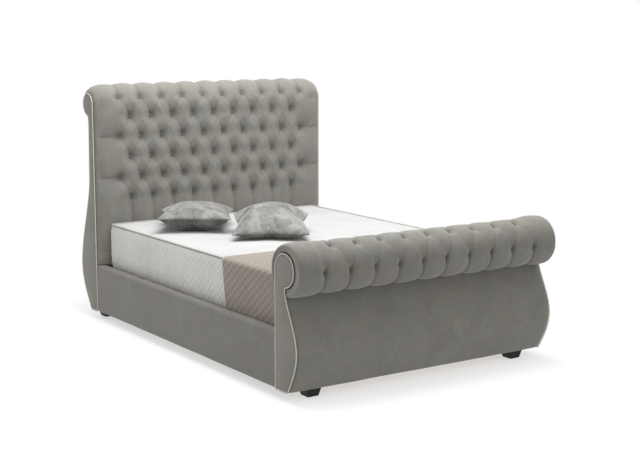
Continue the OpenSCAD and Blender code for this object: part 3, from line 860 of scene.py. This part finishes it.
def build_mattress():
    """The quilted border with its taped edges, then the top and the bottom."""
    low, high = MATTRESS_LOW, MATTRESS_HIGH
    path = rounded_rectangle(low.xy, high.xy, MATTRESS_CORNER, 12, PLAN_STEP)
    normal = outward(path)
    length = PLAN_STEP * len(path)
    repeat = length / round(length / CHEVRON_RUN)

    z = np.linspace(low.z + EDGE_TAPE * 0.6, high.z - EDGE_TAPE * 0.6, 58)
    pp, zz = np.meshgrid(np.arange(len(path)) * PLAN_STEP, z, indexing="ij")
    tri = 2 * np.abs(2 * (pp / repeat - np.floor(pp / repeat + 0.5))) - 1
    rows = (zz - low.z - CHEVRON_RISE * tri) / CHEVRON_GAP
    stitch = np.abs(np.sin(math.pi * rows)) ** 0.5
    mid = 1 - np.abs(2 * (zz - low.z) / (high.z - low.z) - 1) ** 4
    out = -0.006 + 0.0048 * stitch + 0.009 * mid + 0.0010 * ripple(pp, zz, 0.25, 41)
    xy = path[:, None] + normal[:, None] * out[..., None]
    points = np.concatenate([xy, zz[..., None]], -1)
    border = add_mesh("mattress_quilted_border", points,
                      grid_faces(len(path), len(z), wrap_u=True), border_cloth,
                      "mattress")
    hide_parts("mattress_border")

    for name, node, edge_z, way in (("mattress_top_edge", "mattress_tape_top", high.z, -1),
                                    ("mattress_bottom_edge", "mattress_tape_bottom", low.z, 1)):
        a = np.linspace(0, 2 * math.pi, 14, endpoint=False)
        off = -0.0035 + 0.0050 * np.cos(a)
        lift = edge_z + way * 0.0060 + 0.0055 * np.sin(a)
        ring = path[:, None] + normal[:, None] * off[None, :, None]
        lift = np.broadcast_to(lift, ring.shape[:-1]) + 0.0006 * np.sin(
            np.arange(len(path)) * 2 * math.pi * PLAN_STEP / 0.02)[:, None]
        points = np.concatenate([ring, lift[..., None]], -1)
        tape = add_mesh(name, points,
                        grid_faces(len(path), len(a), wrap_u=True, wrap_v=True), tape_cloth,
                        "mattress")
        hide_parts(node)

    build_mattress_face("mattress_ribbed_top", "mattress_top_panel", high.z, 1)
    build_mattress_face("mattress_plain_base", "mattress_bottom_panel", low.z, -1)


def build_mattress_face(name, node, face_z, way):
    """The top or the bottom of the mattress, stitched in ribs across its width."""
    low, high = MATTRESS_LOW, MATTRESS_HIGH
    x = np.linspace(low.x + 0.003, high.x - 0.003, 80)
    y = np.linspace(low.y + 0.003, high.y - 0.003, 500)
    xx, yy = np.meshgrid(x, y, indexing="ij")
    half_x, half_y = (high.x - low.x) / 2 - 0.003, (high.y - low.y) / 2 - 0.003
    mid_x, mid_y = (low.x + high.x) / 2, (low.y + high.y) / 2
    cx, cy = xx - mid_x, yy - mid_y
    r = MATTRESS_CORNER
    reach_x = np.maximum(np.abs(cx) - half_x + r, 0)
    reach_y = np.maximum(np.abs(cy) - half_y + r, 0)
    far = np.hypot(reach_x, reach_y)
    cut = (reach_x > 0) & (reach_y > 0) & (far > r)
    pull = np.where(cut, r / np.maximum(far, 1e-9), 1.0)
    xx = np.where(pull < 1, np.sign(cx) * (half_x - r + reach_x * pull), cx) + mid_x
    yy = np.where(pull < 1, np.sign(cy) * (half_y - r + reach_y * pull), cy) + mid_y
    inner = np.minimum(half_x - np.abs(xx - mid_x), half_y - np.abs(yy - mid_y))
    edge = smooth_step(inner / 0.05)
    rib = np.abs(np.sin(math.pi * yy / RIB_PITCH)) ** 0.6
    z = -0.0075 + edge * (0.0050 + 0.0024 * rib + 0.0015 * ripple(xx, yy, 0.6, 43))
    points = np.stack([xx, yy, face_z + way * z], -1)
    faces = grid_faces(*xx.shape)
    if way < 0:
        faces = [f[::-1] for f in faces]
    piece = add_mesh(name, points, faces, top_cloth, "mattress")
    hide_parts(node)


# ---- Throw ------------------------------------------------------------------------------

DIAMOND_L = 0.057        # size of a quilted diamond along the bed and across it
DIAMOND_W = 0.044
THROW_OUT = 0.013        # how far the hanging sides stand out over the mattress
THROW_SKEW = 0.036       # how much less the hanging edges reach towards the head


def build_throw():
    """A quilted throw laid across the foot end, hanging between the mattress and the rails."""
    low, high = THROW_LOW, THROW_HIGH
    half = MATTRESS_HIGH.x + THROW_OUT
    bend = 0.020
    top = high.z - 0.0035
    hem = low.z + 0.002
    left = np.array([[-half, hem], [-half, top - bend]])
    over_left = arc(-half + bend, top - bend, bend, 180, 90, 8)
    over_right = arc(half - bend, top - bend, bend, 90, 0, 8)
    right = np.array([[half, top - bend], [half, hem]])
    path = resample(join(left, over_left, over_right, right), 0.0045)
    across = np.arange(len(path)) * 0.0045
    y = np.linspace(low.y, high.y, 124)
    pp, yy = np.meshgrid(across, y, indexing="ij")
    base = path[:, None] + np.zeros((1, len(y), 1))
    drop = np.clip((top - base[..., 1]) / (top - hem), 0, 1)
    share = (yy - low.y) / (high.y - low.y)
    points = np.stack([base[..., 0], yy - THROW_SKEW * drop * share, base[..., 1]], -1)
    normal = grid_normals(points)
    normal = np.where(normal[..., 2:3].mean() < 0, -normal, normal)
    a = pp / DIAMOND_W + yy / DIAMOND_L
    b = pp / DIAMOND_W - yy / DIAMOND_L
    puff = (np.abs(np.sin(math.pi * a) * np.sin(math.pi * b))) ** 0.42
    hemmed = np.minimum(np.minimum(yy - low.y, high.y - yy),
                        np.minimum(pp, pp.max() - pp))
    flat = np.exp(-(hemmed / 0.006) ** 2)
    height = 0.0034 * puff * (1 - flat) + 0.0012 * flat
    waves = 0.0016 * ripple(pp, yy, 0.22, 53) * (0.25 + 0.75 * drop)
    points = points + normal * (height + waves)[..., None]
    piece = add_mesh("quilted_throw", points, grid_faces(*pp.shape),
                     throw_cloth, "throw")
    thick = piece.modifiers.new("thickness", "SOLIDIFY")
    thick.thickness, thick.offset = 0.003, 0.0
    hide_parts("throw")


# ---- Cushions ---------------------------------------------------------------------------

def pillow_form(width, thickness, n):
    """Two square sheets joined round their edge, just open enough to be blown up."""
    t = np.linspace(-1, 1, n)
    uu, vv = np.meshgrid(t, t, indexing="ij")
    crown = ((1 - uu ** 2) * (1 - vv ** 2)) ** 0.5
    verts, index = [], {}
    faces = []
    for layer in (1, -1):
        for i in range(n):
            for j in range(n):
                rim = i in (0, n - 1) or j in (0, n - 1)
                if rim and layer < 0:
                    index[layer, i, j] = index[1, i, j]
                    continue
                index[layer, i, j] = len(verts)
                verts.append((uu[i, j] * width / 2, vv[i, j] * width / 2,
                              layer * thickness / 2 * crown[i, j]))
        for i in range(n - 1):
            for j in range(n - 1):
                quad = [index[layer, i, j], index[layer, i + 1, j],
                        index[layer, i + 1, j + 1], index[layer, i, j + 1]]
                faces.append(quad if layer > 0 else quad[::-1])
    rim = ([index[1, i, 0] for i in range(n)] + [index[1, n - 1, j] for j in range(1, n)]
           + [index[1, i, n - 1] for i in range(n - 2, -1, -1)]
           + [index[1, 0, j] for j in range(n - 2, 0, -1)])
    return verts, faces, rim


VELVET_CLOTH = {"quality": 6, "mass": 0.15, "use_pressure": True, "uniform_pressure_force": 4.0,
                "tension_stiffness": 18, "compression_stiffness": 12, "shear_stiffness": 8,
                "bending_stiffness": 0.35}


def inflate(piece, frames=22):
    """Blows a closed cover up with Cloth and applies the result."""
    bpy.context.view_layer.objects.active = piece
    piece.select_set(True)
    cloth = piece.modifiers.new("cloth", "CLOTH")
    for setting, value in VELVET_CLOTH.items():
        setattr(cloth.settings, setting, value)
    cloth.settings.effector_weights.gravity = 0.0
    cloth.collision_settings.use_collision = False
    cloth.point_cache.frame_end = frames
    scene = bpy.context.scene
    for step in range(1, frames + 1):
        scene.frame_set(step)
    evaluated = piece.evaluated_get(bpy.context.evaluated_depsgraph_get())
    co = np.zeros(len(evaluated.data.vertices) * 3)
    evaluated.data.vertices.foreach_get("co", co)
    piece.modifiers.remove(cloth)
    scene.frame_set(1)
    piece.data.vertices.foreach_set("co", co)
    piece.data.update()
    return co.reshape(-1, 3)


SETTLE = 0.012           # height over which a cushion's underside flattens
FULLNESS = 0.88          # below 1 fills a cushion out towards its seam
SQUARE = 0.62            # how much of the cut square is left in the blown-up outline
CUSHION_TURN = -32


def build_cushion(node, turn, seam, lean, seed):
    """A filled square cushion: blown up, settled on the mattress and closed with a seam. seam is
    the seam's height as a share of the cushion's, and lean how much it rises per metre back."""
    low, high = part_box(node)
    centre = (low + high) / 2
    size = high - low
    rad = math.radians(turn)
    width = size.x / (abs(math.cos(rad)) + abs(math.sin(rad)))
    n = 46
    verts, faces, rim = pillow_form(width * 1.07, 0.05, n)
    draw = np.random.default_rng(seed)
    v = np.array(verts)
    v[:, 2] += 0.002 * draw.standard_normal(len(v)) * (np.abs(v[:, 2]) > 1e-6)
    mesh = bpy.data.meshes.new(f"{node}_cover")
    mesh.from_pydata(v.tolist(), [], faces)
    mesh.materials.append(crushed)
    piece = new_object(f"{node}_cover", mesh)
    co = inflate(piece)
    co = co - (co.max(0) + co.min(0)) / 2
    co[:, :2] = SQUARE * v[:, :2] / (v[:, :2].max() - v[:, :2].min()) + (1 - SQUARE) * (
        co[:, :2] / (co[:, :2].max() - co[:, :2].min()))
    co[:, :2] *= width / (co[:, :2].max() - co[:, :2].min())
    z = co[:, 2]
    over = np.clip(z / z.max(), 0, 1) ** FULLNESS
    under = np.clip(z / z.min(), 0, 1) ** FULLNESS
    z = size.z * (seam + (1 - seam) * over - 1.1 * seam * under) + lean * co[:, 1]
    z = np.where(z < SETTLE, SETTLE * np.exp((z - SETTLE) / 0.04), z)
    co[:, 2] = (z - z.min()) * size.z / (z.max() - z.min())
    c, s = math.cos(rad), math.sin(rad)
    placed = np.column_stack([centre.x + co[:, 0] * c - co[:, 1] * s,
                              centre.y + co[:, 0] * s + co[:, 1] * c, low.z + 0.001 + co[:, 2]])
    mesh.vertices.foreach_set("co", placed.reshape(-1))
    mesh.update()
    mesh.shade_smooth()
    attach(piece, node)
    smooth = piece.modifiers.new("fine", "SUBSURF")
    smooth.levels = smooth.render_levels = 1
    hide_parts(node)

    loop = resample(placed[rim], 0.006, closed=True)
    t = tangents(loop)
    up = np.array([0.0, 0.0, 1.0])
    side = np.cross(t, up)
    side /= np.linalg.norm(side, axis=1, keepdims=True)
    lift = np.cross(side, t)
    a = np.linspace(0, 2 * math.pi, 8, endpoint=False)
    tube = (loop[:, None] + 0.0024 * (side[:, None] * np.cos(a)[None, :, None]
                                      + lift[:, None] * np.sin(a)[None, :, None]))
    tube[..., 2] = np.maximum(tube[..., 2], low.z + 0.0005)
    add_mesh(f"{node}_seam", tube,
             grid_faces(len(loop), len(a), wrap_u=True, wrap_v=True), crushed_seam,
             node)


# ---- Camera, light and floor ------------------------------------------------------------

FLOOR_R = 12.0


def make_camera():
    """The camera of the reference view."""
    camera = bpy.data.cameras.new("camera")
    camera.sensor_width = 36.0
    camera.lens = 73.98
    camera.clip_end = 100.0
    holder = new_object("camera", camera)
    holder.location = (-4.1545, FOOT_Y - 5.3315, 1.853)
    holder.rotation_euler = (math.radians(80.535), 0.0, math.radians(-33.965))
    bpy.context.scene.camera = holder


def area_light(name, place, target, size, watts, colour=(1.0, 1.0, 1.0)):
    light = bpy.data.lights.new(name, "AREA")
    light.shape, light.size, light.energy, light.color = "SQUARE", size, watts, colour
    holder = new_object(name, light)
    holder.location = place
    aim = Vector(target) - Vector(place)
    holder.rotation_euler = aim.to_track_quat("-Z", "Y").to_euler()


def make_studio():
    """White surroundings, two soft lights and a paper floor."""
    scene = bpy.context.scene
    scene.view_settings.view_transform = "Standard"
    world = bpy.data.worlds.new("studio")
    world.use_nodes = True
    world.node_tree.nodes["Background"].inputs["Color"].default_value = (1.0, 1.0, 1.0, 1.0)
    world.node_tree.nodes["Background"].inputs["Strength"].default_value = 1.0
    scene.world = world
    area_light("overhead_box", (-0.1, -0.15, 3.4), (0.1, 0.35, 0.5), 2.4, 175)
    area_light("front_left_box", (-4.2, -3.4, 3.2), (0, 0, 0.6), 2.0, 6, (1.0, 0.98, 0.95))

    m = Nodes("floor_paper")
    grit = m.noise(300.0, 3.0, 0.6)
    paper = m.ramp(grit, [(0.3, (0.86, 0.86, 0.86)), (0.7, (0.90, 0.90, 0.90))])
    far = m.add("ShaderNodeVectorMath", operation="LENGTH")
    m.link(m.place, far.inputs[0])
    reach = m.math("MULTIPLY", far.outputs["Value"], 1 / FLOOR_R)
    bright = m.ramp(reach, [(0.10, (0.55, 0.55, 0.55)), (0.34, (1.0, 1.0, 1.0))])
    m.colour(m.mix(bright, paper, (0.0, 0.0, 0.0)))
    m.link(bright, m.shader.inputs["Emission Color"])
    m.set(Emission_Strength=1.0, Specular_IOR_Level=0.0)
    m.rough(grit, 0.85, 1.0)
    rim = arc(0.0, 0.0, FLOOR_R, 0, 360, 96)[:-1]
    floor = bpy.data.meshes.new("floor")
    floor.from_pydata([(x, y, 0.0) for x, y in rim], [], [list(range(len(rim)))])
    floor.materials.append(m.material)
    new_object("floor", floor)


# ---- The frame's own parts --------------------------------------------------------------

CAD_LOOKS = {
    ply: ["head_end_board_left", "head_end_board_right", "foot_end_board_left",
          "foot_end_board_right", "head_scroll_former", "foot_scroll_former"],
    timber_x: ["head_bottom_rail", "head_mid_rail", "head_top_rail", "foot_bottom_rail",
               "foot_top_rail"],
    timber_y: ["rail_core_left", "rail_core_right", "slat_ledger_left", "slat_ledger_right",
               "centre_rail"],
    timber_z: ["head_stiles", "foot_stiles"],
    beech: ["slats_left", "slats_right"],
    steel: ["rail_brackets", "rail_bolts", "centre_rail_brackets", "foot_studs"],
    plastic: ["slat_caps_side", "slat_caps_centre"],
    leg_paint: ["centre_legs"],
    velvet: ["head_front_board", "foot_inner_panel"],
    spring_felt: ["mattress_spring_unit"],
}


def finish_cad_nodes():
    """Gives the timbers, slats and fittings their materials and eases their edges."""
    for material, nodes in CAD_LOOKS.items():
        for node in nodes:
            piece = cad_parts[node]
            for place in piece.material_slots:
                place.material = material
            eased = piece.modifiers.new("eased_edges", "BEVEL")
            eased.width, eased.segments, eased.angle_limit = 0.0008, 2, math.radians(40)


make_camera()
make_studio()
finish_cad_nodes()
build_headboard_pad()
build_footboard_roll()
for board in (HEAD, FOOT):
    for side in (-1, 1):
        build_facing(board, side)
        build_piping(board, side)
build_curved_panel("head_rear_cover", HEAD, "head_back_cover", 61)
build_curved_panel("foot_outer_cover", FOOT, "foot_outer_panel", 67)
for side in (-1, 1):
    build_rail(side)
for foot in ("front_foot_left", "front_foot_right", "rear_foot_left", "rear_foot_right"):
    build_foot(foot)
build_mattress()
build_throw()
build_cushion("cushion_left", CUSHION_TURN, 0.55, 0.0, 71)
build_cushion("cushion_right", CUSHION_TURN, 0.38, 0.13, 73)
